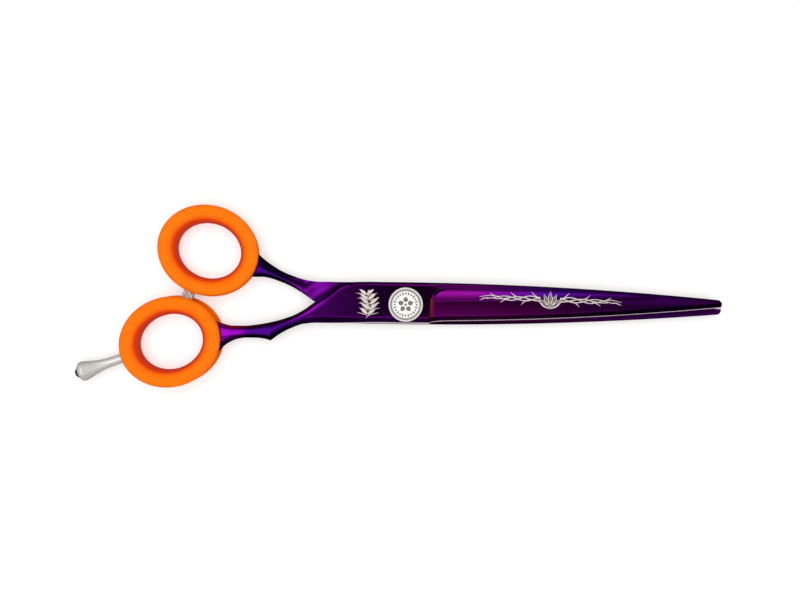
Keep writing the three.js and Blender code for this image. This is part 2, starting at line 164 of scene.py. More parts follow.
def spline(points, steps):
    """Points of a smooth curve through a list of points of any dimension."""
    p = np.array(points, float)
    p = np.vstack([2 * p[0] - p[1], p, 2 * p[-1] - p[-2]])
    out = []
    for i in range(1, len(p) - 2):
        for t in np.arange(steps) / steps:
            out.append(0.5 * (
                2 * p[i] + (p[i + 1] - p[i - 1]) * t
                + (2 * p[i - 1] - 5 * p[i] + 4 * p[i + 1] - p[i + 2]) * t ** 2
                + (3 * p[i] - p[i - 1] - 3 * p[i + 1] + p[i + 2]) * t ** 3))
    return np.array(out + [p[-2]])


# ---- Mesh building -------------------------------------------------------------------------
def mesh_object(name, points, faces, sharp=35):
    mesh = bpy.data.meshes.new(name)
    mesh.from_pydata((np.array(points) * MM).tolist(), [], [list(f) for f in faces])
    mesh.validate()
    obj = bpy.data.objects.new(name, mesh)
    bpy.context.scene.collection.objects.link(obj)
    smooth(obj, sharp)
    return obj


def smooth(obj, sharp):
    obj.data.polygons.foreach_set("use_smooth", [True] * len(obj.data.polygons))
    obj.data.set_sharp_from_angle(angle=math.radians(sharp))


def skin(name, rings, closed, sharp=35):
    """A closed body from rings of points: every ring has the same number of points."""
    rings = np.array(rings, float)
    number, size = rings.shape[:2]
    faces = []
    for i in range(number if closed else number - 1):
        a, b = i * size, ((i + 1) % number) * size
        for j in range(size):
            k = (j + 1) % size
            faces.append((a + j, b + j, b + k, a + k))
    if not closed:
        faces.append(tuple(range(size - 1, -1, -1)))
        faces.append(tuple(range((number - 1) * size, number * size)))
    points = rings.reshape(-1, 3)
    obj = mesh_object(name, points, faces, sharp)
    face_out(obj)
    return obj


def face_out(obj):
    """Turns the whole surface over if it encloses a negative volume."""
    mesh = obj.data
    mesh.calc_loop_triangles()
    co = np.array([v.co for v in mesh.vertices])
    tri = np.array([t.vertices for t in mesh.loop_triangles])
    a, b, c = co[tri[:, 0]], co[tri[:, 1]], co[tri[:, 2]]
    if np.einsum("ij,ij->i", a, np.cross(b, c)).sum() < 0:
        mesh.flip_normals()


def turned(name, profile, segments=128, sharp=35, wobble=None):
    """A body turned about Z from [radius, height] points. A profile that starts and ends on the
    axis is closed there, and any other closes on itself. wobble(angle, radius, height) may
    change the radius and height round the turn."""
    on_axis = profile[0][0] < 1e-6
    rim = profile[1:-1] if on_axis else profile
    size = len(rim)
    points, faces = [], []
    for i in range(segments):
        angle = 2 * math.pi * i / segments
        for radius, height in rim:
            r, h = wobble(angle, radius, height) if wobble else (radius, height)
            points.append((r * math.cos(angle), r * math.sin(angle), h))
    span = size - 1 if on_axis else size
    for i in range(segments):
        a, b = i * size, ((i + 1) % segments) * size
        for j in range(span):
            k = (j + 1) % size
            faces.append((a + j, b + j, b + k, a + k))
    if on_axis:
        start, end = len(points), len(points) + 1
        points += [(0, 0, profile[0][1]), (0, 0, profile[-1][1])]
        for i in range(segments):
            a, b = i * size, ((i + 1) % segments) * size
            faces.append((start, b, a))
            faces.append((end, a + size - 1, b + size - 1))
    obj = mesh_object(name, points, faces, sharp)
    face_out(obj)
    return obj


def lay_radially(obj, centre, turn):
    """Turns a body drawn along Z so that it lies in the mid-plane and points away from centre."""
    for v in obj.data.vertices:
        x, y, z = v.co
        v.co = (
            z * math.cos(turn) - y * math.sin(turn) + centre[0] * MM,
            z * math.sin(turn) + y * math.cos(turn) + centre[1] * MM,
            MID_PLANE * MM - x,
        )
    obj.data.update()
    return obj


def joined(obj, other, operation):
    """obj joined with or cut by other, which is used up."""
    modifier = obj.modifiers.new("join", "BOOLEAN")
    modifier.operation = operation
    modifier.solver = "MANIFOLD"
    modifier.object = other
    evaluated = obj.evaluated_get(bpy.context.evaluated_depsgraph_get())
    mesh = bpy.data.meshes.new_from_object(evaluated)
    obj.modifiers.clear()
    obj.data = mesh
    bpy.data.objects.remove(other)
    return obj


def round_edges(obj, width):
    modifier = obj.modifiers.new("round", "BEVEL")
    modifier.width = width * MM
    modifier.segments = 3
    modifier.limit_method = "ANGLE"
    modifier.angle_limit = math.radians(40)
    modifier.harden_normals = True


# ---- Materials -----------------------------------------------------------------------------
class Nodes:
    """A node tree, with short calls for the nodes used here."""

    def __init__(self, tree):
        self.tree = tree

    def node(self, kind, **settings):
        made = self.tree.nodes.new(kind)
        for key, value in settings.items():
            if hasattr(made, key):
                setattr(made, key, value)
            else:
                made.inputs[key.replace("_", " ")].default_value = value
        return made

    def link(self, output, target):
        self.tree.links.new(output, target)

    def parts(self, vector):
        """The X, Y and Z parts of a vector."""
        made = self.node("ShaderNodeSeparateXYZ")
        self.link(vector, made.inputs["Vector"])
        return made.outputs

    def math(self, operation, a, b=0.0):
        made = self.node("ShaderNodeMath", operation=operation)
        for value, target in ((a, made.inputs[0]), (b, made.inputs[1])):
            if isinstance(value, (int, float)):
                target.default_value = value
            else:
                self.link(value, target)
        return made.outputs[0]

    def spread(self, value, from_low, from_high, to_low, to_high):
        made = self.node("ShaderNodeMapRange")
        for key, number in zip(("From Min", "From Max", "To Min", "To Max"),
                               (from_low, from_high, to_low, to_high)):
            made.inputs[key].default_value = number
        self.link(value, made.inputs["Value"])
        return made.outputs["Result"]

    def ramp(self, value, stops):
        made = self.node("ShaderNodeValToRGB")
        band = made.color_ramp
        while len(band.elements) < len(stops):
            band.elements.new(0.5)
        for element, (position, color) in zip(band.elements, stops):
            element.position = position
            element.color = (*color, 1)
        self.link(value, made.inputs["Fac"])
        return made.outputs["Color"]


class Surface(Nodes):
    """A material's node tree, which reads places in the piece's own frame."""

    def __init__(self, name):
        self.material = bpy.data.materials.new(name)
        self.material.use_nodes = True
        super().__init__(self.material.node_tree)
        self.shader = self.tree.nodes["Principled BSDF"]
        self.place = self.node("ShaderNodeTexCoord").outputs["Object"]

    def noise(self, scale, detail=3.0, stretch=(1, 1, 1)):
        """Noise whose grains are 1 / scale millimetres across."""
        mapping = self.node("ShaderNodeMapping")
        mapping.inputs["Scale"].default_value = stretch
        self.link(self.place, mapping.inputs["Vector"])
        noise = self.node("ShaderNodeTexNoise", Scale=scale / MM, Detail=detail)
        self.link(mapping.outputs["Vector"], noise.inputs["Vector"])
        return noise.outputs["Fac"]

    def along(self, axis):
        """The place along one axis, in millimetres."""
        return self.math("MULTIPLY", self.parts(self.place)[axis], 1 / MM)

    def mix(self, factor, a, b):
        made = self.node("ShaderNodeMix", data_type="RGBA")
        for value, target in ((factor, made.inputs[0]), (a, made.inputs[6]), (b, made.inputs[7])):
            if isinstance(value, (int, float)):
                target.default_value = value
            elif isinstance(value, tuple):
                target.default_value = (*value, 1)
            else:
                self.link(value, target)
        return made.outputs[2]

    def bump(self, height, strength, distance=0.05):
        made = self.node("ShaderNodeBump")
        made.inputs["Strength"].default_value = strength
        made.inputs["Distance"].default_value = distance * MM
        self.link(height, made.inputs["Height"])
        self.link(made.outputs["Normal"], self.shader.inputs["Normal"])

    def set(self, **values):
        for key, value in values.items():
            self.shader.inputs[key.replace("_", " ")].default_value = value

    def color(self, output):
        self.link(output, self.shader.inputs["Base Color"])

    def roughness(self, output):
        self.link(output, self.shader.inputs["Roughness"])


def violet_steel():
    """Mirror-polished steel under a thin violet coating, whose hue drifts along the piece. The blade's
    lower facet carries a painted reflection, a darker, redder tint for the dim light it mirrors, and
    the wall at its shoulder a painted copper-orange highlight."""
    n = Surface("violet_steel")
    n.set(Metallic=1.0, Specular_Tint=(0.6, 0.2, 0.8, 1))
    orchid, magenta, violet = (0.46, 0.006, 0.70), (0.52, 0.010, 0.55), (0.34, 0.008, 0.60)
    indigo, dusk = (0.20, 0.010, 0.64), (0.09, 0.005, 0.30)
    lower_facet_shade, shoulder_glint_tint = (0.44, 0.010, 0.40), (0.75, 0.10, 0.06)
    facet_start, facet_end = (8.5, 9.5), (45, 85)
    crease_y, crease_slope, crease_bend_x = 0.4, 0.042, 58.0
    x, y = n.along("X"), n.along("Y")
    waver = n.spread(n.noise(0.03, 1.0), 0.3, 0.7, -0.01, 0.01)
    drift = n.math("ADD", n.spread(x, -60, 100, 0, 1), waver)
    hue = n.ramp(drift, [
        (0.0, orchid), (0.03, orchid), (0.055, dusk), (0.13, dusk), (0.175, violet), (0.30, violet),
        (0.43, magenta), (0.50, magenta), (0.58, violet), (0.68, indigo), (1.0, violet),
    ])
    # Painted reflection: below the facet's crease the coating turns maroon, darker and redder, for the
    # dim light the lower facet mirrors. It fades in past the shoulder and fades to a tenth towards the
    # tip.
    crease = n.math("MULTIPLY", n.math("MINIMUM", x, crease_bend_x), crease_slope)
    crease = n.math("ADD", crease, crease_y)
    below = n.spread(n.math("SUBTRACT", crease, y), -0.4, 0.5, 0, 1)
    facet = n.math("MULTIPLY", below, n.spread(x, *facet_start, 0, 1))
    facet = n.math("MULTIPLY", facet, n.spread(x, *facet_end, 1, 0.1))
    hue = n.mix(facet, hue, lower_facet_shade)
    # Painted highlight: the wall at the recess's shoulder is tinted copper-orange, standing in for a
    # warm glint on the curved wall.
    wall = n.math("MULTIPLY", n.spread(x, 7.6, 8.0, 0, 1), n.spread(x, 9.0, 8.6, 0, 1))
    wall = n.math("MULTIPLY", wall, n.spread(y, 3.0, 2.0, 0, 1))
    n.color(n.mix(wall, hue, shoulder_glint_tint))
    wipe = n.noise(1.2, 4.0, (0.15, 1, 1))
    n.roughness(n.spread(wipe, 0.3, 0.8, 0.08, 0.15))
    n.bump(n.noise(6, 2.0, (0.08, 1, 1)), 0.03, 0.01)
    return n.material


def ground_steel():
    """Bare steel left by honing the cutting edge."""
    n = Surface("ground_steel")
    n.set(Metallic=0.4)
    grain = n.noise(8, 3.0, (0.1, 1, 1))
    n.color(n.mix(grain, (0.66, 0.58, 0.60), (0.90, 0.80, 0.83)))
    n.roughness(n.spread(grain, 0.2, 0.8, 0.28, 0.45))
    n.bump(grain, 0.15, 0.02)
    return n.material


def satin_steel():
    """Pale nickel silver with a soft lustre."""
    n = Surface("satin_steel")
    n.set(Metallic=0.5)
    n.color(n.mix(n.noise(0.3, 2.0), (0.86, 0.85, 0.81), (0.96, 0.95, 0.91)))
    n.roughness(n.spread(n.noise(1.5, 3.0), 0.2, 0.8, 0.10, 0.2))
    return n.material


def polished_steel():
    n = Surface("polished_steel")
    n.set(Metallic=0.8)
    n.color(n.mix(n.noise(0.8, 2.0), (0.80, 0.79, 0.77), (0.93, 0.92, 0.90)))
    n.roughness(n.spread(n.noise(3, 3.0), 0.2, 0.8, 0.08, 0.2))
    return n.material


def cut_crystal():
    """Bright faceted studs, whose clear and mirrored facets are painted: noise patches of near white
    are painted glints, and patches of dark grey painted shade seen through the clear facets.
    """
    n = Surface("cut_crystal")
    n.set(Metallic=0.35)
    # Painted glints and shade: the mask picks near white for mirrored facets and dark grey for clear
    # ones.
    clear = n.spread(n.noise(1.6, 2.0), 0.4, 0.6, 0, 1)
    n.color(n.mix(clear, (0.35, 0.33, 0.31), (0.95, 0.93, 0.90)))
    n.roughness(n.spread(n.noise(3, 3.0), 0.2, 0.8, 0.05, 0.15))
    return n.material


def dial_face():
    """Fine bead-blasted nickel, almost white."""
    n = Surface("dial_face")
    n.set(Metallic=0.1)
    grain = n.noise(14, 2.0)
    n.color(n.mix(n.noise(0.7, 3.0), (0.80, 0.785, 0.75), (0.90, 0.885, 0.86)))
    n.roughness(n.spread(grain, 0.2, 0.8, 0.35, 0.5))
    n.bump(grain, 0.12, 0.02)
    return n.material


def dial_ring():
    """The dial's milled metal, pale on its faces, with painted shade down in the turned groove: dark
    grey there, striped round the knurl.
    """
    n = Surface("dial_ring")
    n.set(Metallic=0.35)
    inner_lip, outer_lip = (4.40, 4.50), (4.92, 4.84)
    x, y = n.along("X"), n.along("Y")
    radius = n.math("SQRT", n.math("ADD", n.math("MULTIPLY", x, x), n.math("MULTIPLY", y, y)))
    inside = n.math("MULTIPLY", n.spread(radius, *inner_lip, 0, 1), n.spread(radius, *outer_lip, 0, 1))
    # Painted shade: the groove is coloured dark grey, in lighter and darker stripes that follow the
    # knurl round the dial.
    knurl_shade_wave = n.math("SINE", n.math("MULTIPLY", n.math("ARCTAN2", y, x), 2.0 * DIAL_NOTCHES))
    groove = n.mix(n.spread(knurl_shade_wave, -0.3, 0.3, 0, 1), (0.16, 0.155, 0.14), (0.42, 0.41, 0.38))
    pale = n.mix(n.noise(0.7, 3.0), (0.78, 0.77, 0.73), (0.90, 0.89, 0.86))
    n.color(n.mix(inside, pale, groove))
    n.roughness(n.spread(n.noise(9, 2.0), 0.2, 0.8, 0.28, 0.42))
    return n.material


def dial_mark():
    n = Surface("dial_mark")
    n.set(Metallic=0.2)
    n.color(n.mix(n.noise(2.5, 3.0), (0.13, 0.13, 0.12), (0.22, 0.22, 0.20)))
    n.roughness(n.spread(n.noise(9, 2.0), 0.2, 0.8, 0.5, 0.7))
    return n.material


def engraving():
    """Laser-etched lines, which scatter light instead of mirroring it."""
    n = Surface("engraving")
    n.set(Metallic=0.15)
    grain = n.noise(12, 3.0)
    n.color(n.mix(grain, (0.58, 0.50, 0.46), (0.80, 0.72, 0.68)))
    n.roughness(n.spread(grain, 0.2, 0.8, 0.5, 0.7))
    n.bump(grain, 0.2, 0.02)
    return n.material


def orange_silicone():
    """Matte moulded silicone, with painted shade down in the hole: darker and redder there, for the
    little light that reaches it.
    """
    n = Surface("orange_silicone")
    n.set(Subsurface_Weight=0.08, Subsurface_Radius=(1.0, 0.25, 0.05), Subsurface_Scale=0.8 * MM)
    n.set(Specular_IOR_Level=0.3)
    cloud = n.spread(n.noise(0.25, 4.0), 0.3, 0.7, 0, 1)
    bright = n.mix(cloud, (0.90, 0.150, 0.001), (0.97, 0.185, 0.001))
    # Painted shade: darker, redder orange down the hole's wall, set by a per-point attribute.
    depth = n.node("ShaderNodeAttribute", attribute_name="painted_hole_shade").outputs["Fac"]
    n.color(n.mix(depth, bright, (0.72, 0.040, 0.001)))
    skin_grain = n.noise(7, 3.0)
    n.roughness(n.spread(skin_grain, 0.2, 0.8, 0.5, 0.68))
    n.bump(skin_grain, 0.12, 0.03)
    return n.material


def dark_stone():
    n = Surface("dark_stone")
    n.color(n.mix(n.noise(0.6, 2.0), (0.012, 0.012, 0.014), (0.05, 0.05, 0.055)))
    n.roughness(n.spread(n.noise(4, 2.0), 0.2, 0.8, 0.04, 0.12))
    n.set(Coat_Weight=0.6, Coat_Roughness=0.03)
    return n.material


def white_polymer():
    n = Surface("white_polymer")
    n.color(n.mix(n.noise(0.8, 3.0), (0.80, 0.79, 0.75), (0.90, 0.89, 0.86)))
    n.roughness(n.spread(n.noise(6, 2.0), 0.2, 0.8, 0.35, 0.5))
    n.bump(n.noise(10, 2.0), 0.1, 0.02)
    return n.material


def brass():
    n = Surface("brass")
    n.set(Metallic=1.0)
    n.color(n.mix(n.noise(0.7, 3.0), (0.62, 0.42, 0.14), (0.80, 0.58, 0.24)))
    n.roughness(n.spread(n.noise(5, 3.0), 0.2, 0.8, 0.2, 0.38))
    n.bump(n.noise(9, 2.0, (1, 1, 0.2)), 0.08, 0.02)
    return n.material


def pale_floor():
    """White paper on a light table, whose own glow softens the shadows."""
    n = Surface("pale_floor")
    n.set(Specular_IOR_Level=0.1, Emission_Color=(1.0, 0.985, 0.975, 1), Emission_Strength=0.42)
    n.color(n.mix(n.noise(0.02, 2.0), (0.56, 0.55, 0.545), (0.60, 0.59, 0.585)))
    n.roughness(n.spread(n.noise(1, 2.0), 0.2, 0.8, 0.8, 0.9))
    return n.material


VIOLET = violet_steel()
GROUND = ground_steel()
SATIN = satin_steel()
POLISHED = polished_steel()
CRYSTAL = cut_crystal()
FACE = dial_face()
DIAL_RING = dial_ring()
MARK = dial_mark()
ETCHED = engraving()
ORANGE = orange_silicone()
STONE = dark_stone()
POLYMER = white_polymer()
BRASS = brass()


def dress(obj, material, body, slot_name, *replaced):
    """Gives a new piece its material, the body it rides on and the CAD nodes it stands for."""
    if not obj.data.materials:
        obj.data.materials.append(material)
    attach(obj, body)
    if replaced:
        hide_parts(*replaced)
    return obj


# ---- The halves ----------------------------------------------------------------------------
# Both are drawn as the front half lies, with heights from the mid-plane, as in the CAD part.
TANG_START = -12
BAR_WALL = 0.15  # half the height of the bar's upright side
CROSSING = [(-32.5, -2), (-29.1, 0.4), (-25.5, 2.5), (-20.5, 6.1), (-17, 7), (TANG_START, 7.15)]
RIM_END = [(-28, -6.2), (-10, -6.2), (SHOULDER_X, -6.15)]


class Shank:
    """The outline of one half behind its tang: the spine side and the cutting side."""

    def __init__(self, ring, start, rise, cusp_x, spine_side, before_cusp, after_cusp):
        self.ring, self.start, self.rise, self.cusp_x = ring, start, rise, cusp_x
        self.spine_side = curve_through(spine_side + CROSSING)
        self.before_cusp = curve_through(before_cusp) if before_cusp else None
        self.after_cusp = curve_through(after_cusp + RIM_END)


FRONT = Shank(
    ring=FRONT_RING[:2], start=-63.4, rise=(-59.5, -38), cusp_x=-43.2,
    spine_side=[(-63.4, -5.2), (-61.6, -6), (-59.3, -6.7), (-55.6, -7.5), (-51.8, -7.5), (-48, -7.1),
                (-44.1, -6.4), (-40.2, -5.4), (-36.4, -4.1)],
    before_cusp=[(-63.4, -18.6), (-61.5, -17.9), (-60.2, -16.2), (-59.2, -15), (-57.3, -13.3),
                 (-53.8, -11.7), (-51, -11.3), (-47.9, -11.3), (-45, -11.6), (-43.2, -12.1)],
    after_cusp=[(-43.2, -12.1), (-40.2, -9.9), (-36.4, -7.9), (-32.6, -6.6)],
)
BACK = Shank(
    ring=np.array([BACK_RING[0], 2 * CENTRE_Y - BACK_RING[1]]), start=-51.3, rise=(-47.5, -31),
    cusp_x=-51.3,
    spine_side=[(-51.3, -8.3), (-49.6, -7.5), (-46.1, -7.5), (-44.1, -7.2), (-40.3, -6),
                (-36.4, -4.3)],
    before_cusp=None,
    after_cusp=[(-51.3, -20), (-50.2, -18.3), (-49, -16.5), (-47.4, -14.7), (-44.2, -12.05),
                (-42.3, -10.8), (-40.3, -9.6), (-36.5, -8), (-32.6, -6.8)],
)


def spine_edge(shank, x):
    if x < TANG_START:
        return shank.spine_side(x)
    corner_start = TIP_X - TIP_CORNER
    past = min(max(x - corner_start, 0), TIP_CORNER)
    rounding = TIP_CORNER - math.sqrt(TIP_CORNER ** 2 - past ** 2)
    fall = (TANG_HALF_WIDTH - TIP_HALF_WIDTH) * (max(x, 0) / TIP_X) ** SPINE_CURVE
    return CENTRE_Y + TANG_HALF_WIDTH - fall - rounding


def cutting_edge(shank, x):
    if x < shank.cusp_x:
        return shank.before_cusp(x)
    if x < SHOULDER_X:
        return shank.after_cusp(x)
    heel = HEEL_DROP * math.exp((SHOULDER_X - x) / HEEL_SPAN)
    return CENTRE_Y - EDGE_OFFSET + (EDGE_OFFSET - EDGE_AT_TIP) * (x / TIP_X) ** EDGE_CURVE - heel


def bar_heights(shank, x):
    """Top and bottom of the rounded shank."""
    rise = smoothstep(x, *shank.rise)
    top = lerp(STEEL_RING_HALF, OUTER_FACE, rise)
    bottom = lerp(-STEEL_RING_HALF, INNER_FACE - SHANK_BELLY, rise)
    return top, bottom


def bar_surface(y, low, high, wall, crown):
    across = np.clip((2 * y - low - high) / (high - low), -1, 1)
    return wall + (crown - wall) * np.sqrt(1 - across ** 2)


def tang_surface(y, low, high, slope):
    """The flat top of the tang, with a bevel and a rim on the cutting side and a chamfer of two
    slopes on the spine side, which runs at this slope in plan."""
    chamfer = CHAMFER_WIDTH * math.hypot(1, slope)
    knee, knee_drop = CHAMFER_KNEE * chamfer, CHAMFER_KNEE_DROP * CHAMFER_DROP
    bevel = OUTER_FACE - RIM_BEVEL_DROP * (low + RIM_BEVEL_WIDTH - y) / (RIM_BEVEL_WIDTH - RIM_WIDTH)
    rim = OUTER_FACE - RIM_BEVEL_DROP + (y - low - RIM_WIDTH)
    upper = OUTER_FACE - knee_drop * (y - high + chamfer) / knee
    lower = OUTER_FACE - CHAMFER_DROP + (CHAMFER_DROP - knee_drop) * (high - y) / (chamfer - knee)
    surface = smooth_min(bevel, rim, softness=0.05)
    surface = smooth_min(surface, np.full_like(y, OUTER_FACE), softness=0.10)
    surface = smooth_min(surface, upper, softness=0.06)
    return smooth_min(surface, lower, softness=0.2)


def fuller_limits(x, low, high):
    """Where the fuller starts and ends across the blade."""
    along = np.clip(x / TIP_X, 0, 1)
    band = min(lerp(*SPINE_BAND, along), (high - low) * 0.25)
    return lerp(low, high, lerp(*FULLER_START, along)), high - band


def blade_surface(x, y, low, high):
    """From the cutting side: the edge bevel, the lower facet, the fuller, which is deepest at the
    facet, the band above it and the spine's rounded shoulder."""
    along = np.clip(x / TIP_X, 0, 1)
    spine = INNER_FACE + lerp(*SPINE_THICKNESS, along)
    depth = FULLER_DEPTH * (1 - min(x / FULLER_END_X, 1) ** FULLER_FADE)
    fuller_low, fuller_high = fuller_limits(x, low, high)
    across = np.clip((y - fuller_low) / (fuller_high - fuller_low), 0, 1.1)
    fuller = spine - depth * (1 - 0.3 * across - 0.55 * across ** 2 - 0.15 * across ** 10)
    edge = INNER_FACE + EDGE_LAND + EDGE_BEVEL_SLOPE * (y - low)
    share = np.clip((y - low) / (fuller_low - low), 0, None)
    swell = FACET_SWELL * np.clip(share * (1 - share), 0, None)
    start = lerp(*FACET_START, along)
    past_valley = np.clip(share - 1, 0, None)
    facet = (spine - depth) * (start + (1 - start) * share + swell) + 4 * past_valley
    band_width = high - fuller_high
    band = spine - SPINE_BAND_DROP * (y - fuller_high) / (0.7 * band_width)
    shoulder_drop = 0.25 * (spine - INNER_FACE)
    shoulder = spine - SPINE_BAND_DROP - shoulder_drop * (1 - (high - y) / (0.3 * band_width))
    surface = smooth_min(edge, facet, softness=0.02)
    surface = smooth_min(surface, fuller, softness=0.04)
    surface = smooth_min(surface, band, softness=0.03)
    return smooth_min(surface, shoulder, softness=0.12)


def recess_depth(x, y, high):
    """How far a place lies inside the ground recess, whose corner by the spine is rounded."""
    corner_x = SHOULDER_X + SHOULDER_CORNER
    corner_y = high - SPINE_BAND[0] - SHOULDER_CORNER
    round_part = SHOULDER_CORNER - np.hypot(x - corner_x, y - corner_y)
    return np.where((x > corner_x) | (y < corner_y), x - SHOULDER_X, round_part)


def outer_surface(shank, x, y, low, high):
    """The shank's round bar, the tang and the blade, blended into one another along X."""
    step = 0.1
    slope = (spine_edge(shank, x + step) - spine_edge(shank, x - step)) / (2 * step) if x < 0 else 0
    surface = tang_surface(y, low, high, slope)
    if x < -20:
        top, bottom = bar_heights(shank, x)
        bar = bar_surface(y, low, high, (top + bottom) / 2 + BAR_WALL, top)
        surface = lerp(bar, surface, smoothstep(x, -36, -24))
    if x > SHOULDER_X:
        _, fuller_high = fuller_limits(x, low, high)
        recess = smoothstep(recess_depth(x, y, high), 0, SHOULDER_WIDTH)
        spine_band = smoothstep(y, fuller_high - 0.3, fuller_high + 0.1)
        weight = lerp(recess, smoothstep(x, SHOULDER_X, SHOULDER_X + 5), spine_band)
        surface = lerp(surface, blade_surface(x, y, low, high), weight)
    return surface


def inner_surface(shank, x, y, low, high):
    """The shank swells down past the inner face only where the other half has ended; the blade is
    hollow-ground between its honed strip and its spine."""
    if x < TANG_START:
        other_edge = 2 * CENTRE_Y - FRONT.spine_side(x) - 0.3
        swell = smoothstep(0.77 * (other_edge - y), 0, BELLY_SPAN)
        surface = INNER_FACE - SHANK_BELLY * swell
        top, bottom = bar_heights(shank, x)
        bar = bar_surface(y, low, high, (top + bottom) / 2 - BAR_WALL, bottom)
        return lerp(bar, surface, smoothstep(x, -40, -30))
    hollow = smoothstep(y, low + HONED_WIDTH, low + HONED_WIDTH + 0.4) * smoothstep(high - y, 0.8, 1.6)
    hollow = hollow * smoothstep(x, 9, 14) * (1 - smoothstep(x, TIP_X - 6, TIP_X - 1))
    return INNER_FACE + HOLLOW_GRIND * hollow


EDGE_WIDTH = 0.2
TANG_EDGE_WIDTH = 0.45
EDGE_ROWS = 6


def edge_width(x):
    return EDGE_WIDTH if x > SHOULDER_X else TANG_EDGE_WIDTH * smoothstep(x, -26, -8) + 0.02


def outer_rows(x, low, high):
    """Where the rows of points lie across the outer face, close together along its creases."""
    blade_share = smoothstep(x, -6, 7)
    fuller_low, fuller_high = fuller_limits(x, low, high)
    edge = low + min(edge_width(x), 0.1 * (high - low))
    marks = [
        low,
        edge,
        lerp(low + RIM_BEVEL_WIDTH, lerp(edge, fuller_low, 0.3), blade_share),
        lerp(lerp(low, high, 0.5), fuller_low, blade_share),
        lerp(high - CHAMFER_WIDTH, fuller_high, blade_share),
        high,
    ]
    numbers = [EDGE_ROWS, count(14), count(24), count(34), count(18)]
    rows = np.concatenate([np.linspace(a, b, n, endpoint=False)
                           for a, b, n in zip(marks, marks[1:], numbers)] + [[high]])
    turn = np.linspace(0, math.pi, len(rows))
    bar = (low + high) / 2 - np.cos(turn) * (high - low) / 2
    return lerp(bar, rows, smoothstep(x, -38, -26))


def half_section(shank, x):
    low, high = cutting_edge(shank, x), spine_edge(shank, x)
    outer_y = outer_rows(x, low, high)
    outer_z = outer_surface(shank, x, outer_y, low, high)
    turn = np.linspace(math.pi, 0, count(44))
    inner_y = (low + high) / 2 - np.cos(turn) * (high - low) / 2
    inner_z = inner_surface(shank, x, inner_y, low, high)
    y = np.concatenate([outer_y, inner_y])
    z = np.concatenate([outer_z, inner_z])
    return np.column_stack([np.full(len(y), x), y, z])


def stations(shank):
    """Where the sections stand along X: close together at the crossing, the shoulder and the tip."""
    crossing_x, past_shoulder_x, near_tip_x = -30, SHOULDER_X + 5.5, 95
    stretches = [
        (shank.start, shank.cusp_x, 80), (shank.cusp_x, crossing_x, 60), (crossing_x, TANG_START, 90),
        (TANG_START, SHOULDER_X, 40), (SHOULDER_X, past_shoulder_x, 70),
        (past_shoulder_x, near_tip_x, 120), (near_tip_x, TIP_X - TIP_CORNER, 14),
    ]
    places = [np.linspace(a, b, count(n), endpoint=False) for a, b, n in stretches if b > a]
    corner = TIP_X - TIP_CORNER * (1 - np.sin(np.linspace(0, 0.48, count(24)) * math.pi))
    return np.concatenate(places + [corner])


def oval_points(centre, spans, angle):
    radii = HOLE_RADII + np.outer(spans, FLANGE_RADII - HOLE_RADII)
    along, across = radii[:, 0] * math.cos(angle), radii[:, 1] * math.sin(angle)
    x = centre[0] + along * math.cos(RING_TURN) - across * math.sin(RING_TURN)
    y = centre[1] + along * math.sin(RING_TURN) + across * math.cos(RING_TURN)
    return np.column_stack([x, y])


def oval_sweep(name, centre, profile, steps, shift=0.0):
    """A ring with the profile's [span, height] points, swept round the oval. Spans count from the
    hole at 0 to the flange at 1, and shift moves the points sideways by [x, y]."""
    profile = np.array(profile)
    rings = []
    for angle in np.linspace(0, 2 * math.pi, steps, endpoint=False):
        plan = oval_points(centre, profile[:, 0], angle) + shift
        rings.append(np.column_stack([plan, profile[:, 1]]))
    return skin(name, rings, True)


def steel_ring(centre):
    """The ring under the insert, with a section between an oval and a rectangle."""
    squareness = 0.6
    middle, half_span = sum(STEEL_RING_SPAN) / 2, (STEEL_RING_SPAN[1] - STEEL_RING_SPAN[0]) / 2
    profile = []
    for turn in np.linspace(0, 2 * math.pi, count(40), endpoint=False):
        c, s = math.cos(turn), math.sin(turn)
        profile.append((middle + half_span * math.copysign(abs(c) ** squareness, c),
                        STEEL_RING_HALF * math.copysign(abs(s) ** squareness, s)))
    return oval_sweep("steel_ring", centre, profile, count(200))


def cutter(radius, bottom, top, y=0.0):
    """A cylinder whose axis stands at X = 0."""
    obj = turned("cutter", [(0, bottom), (radius, bottom), (radius, top), (0, top)], 96)
    for v in obj.data.vertices:
        v.co.y += y * MM
    return obj


def half(name, shank, turned_over, bores):
    obj = skin(name, [half_section(shank, x) for x in stations(shank)], False)
    joined(obj, steel_ring(shank.ring), "UNION")
    for bore in bores:
        joined(obj, bore, "DIFFERENCE")
    silver_edges(obj, shank)
    sign = -1 if turned_over else 1
    offset = 2 * CENTRE_Y if turned_over else 0
    co = np.array([v.co for v in obj.data.vertices])
    co[:, 1] = offset * MM + sign * co[:, 1]
    co[:, 2] = MID_PLANE * MM + sign * co[:, 2]
    obj.data.vertices.foreach_set("co", co.astype(np.float32).ravel())
    obj.data.update()
    smooth(obj, 30)
    return obj


def silver_edges(obj, shank):
    """Bare ground steel along the cutting edge, the tang's rim and the honed inner strip."""
    rim_start = -24
    obj.data.materials.clear()
    obj.data.materials.append(VIOLET)
    obj.data.materials.append(GROUND)
    for polygon in obj.data.polygons:
        x, y, z = polygon.center / MM
        if x < rim_start:
            continue
        inside = y - cutting_edge(shank, x)
        on_edge = inside < edge_width(x) * 1.01 and z > INNER_FACE + 0.02
        honed = x > SHOULDER_X + 1 and inside < HONED_WIDTH and z < INNER_FACE + 0.05
        if on_edge or honed:
            polygon.material_index = 1


front_bore = cutter(FRONT_BORE, -1, 4)
bearing_seat = cutter(BEARING_SEAT_RADIUS, OUTER_FACE - BEARING_SEAT_DEPTH, OUTER_FACE + 1)
back_bore = cutter(BACK_BORE, -2, 6, 2 * CENTRE_Y)
dress(half("front_half_polished", FRONT, False, [front_bore, bearing_seat]),
      VIOLET, "moving_half", "violet_steel", "front_half")
dress(half("back_half_polished", BACK, True, [back_bore]),
      VIOLET, "still_half", "violet_steel", "back_half")


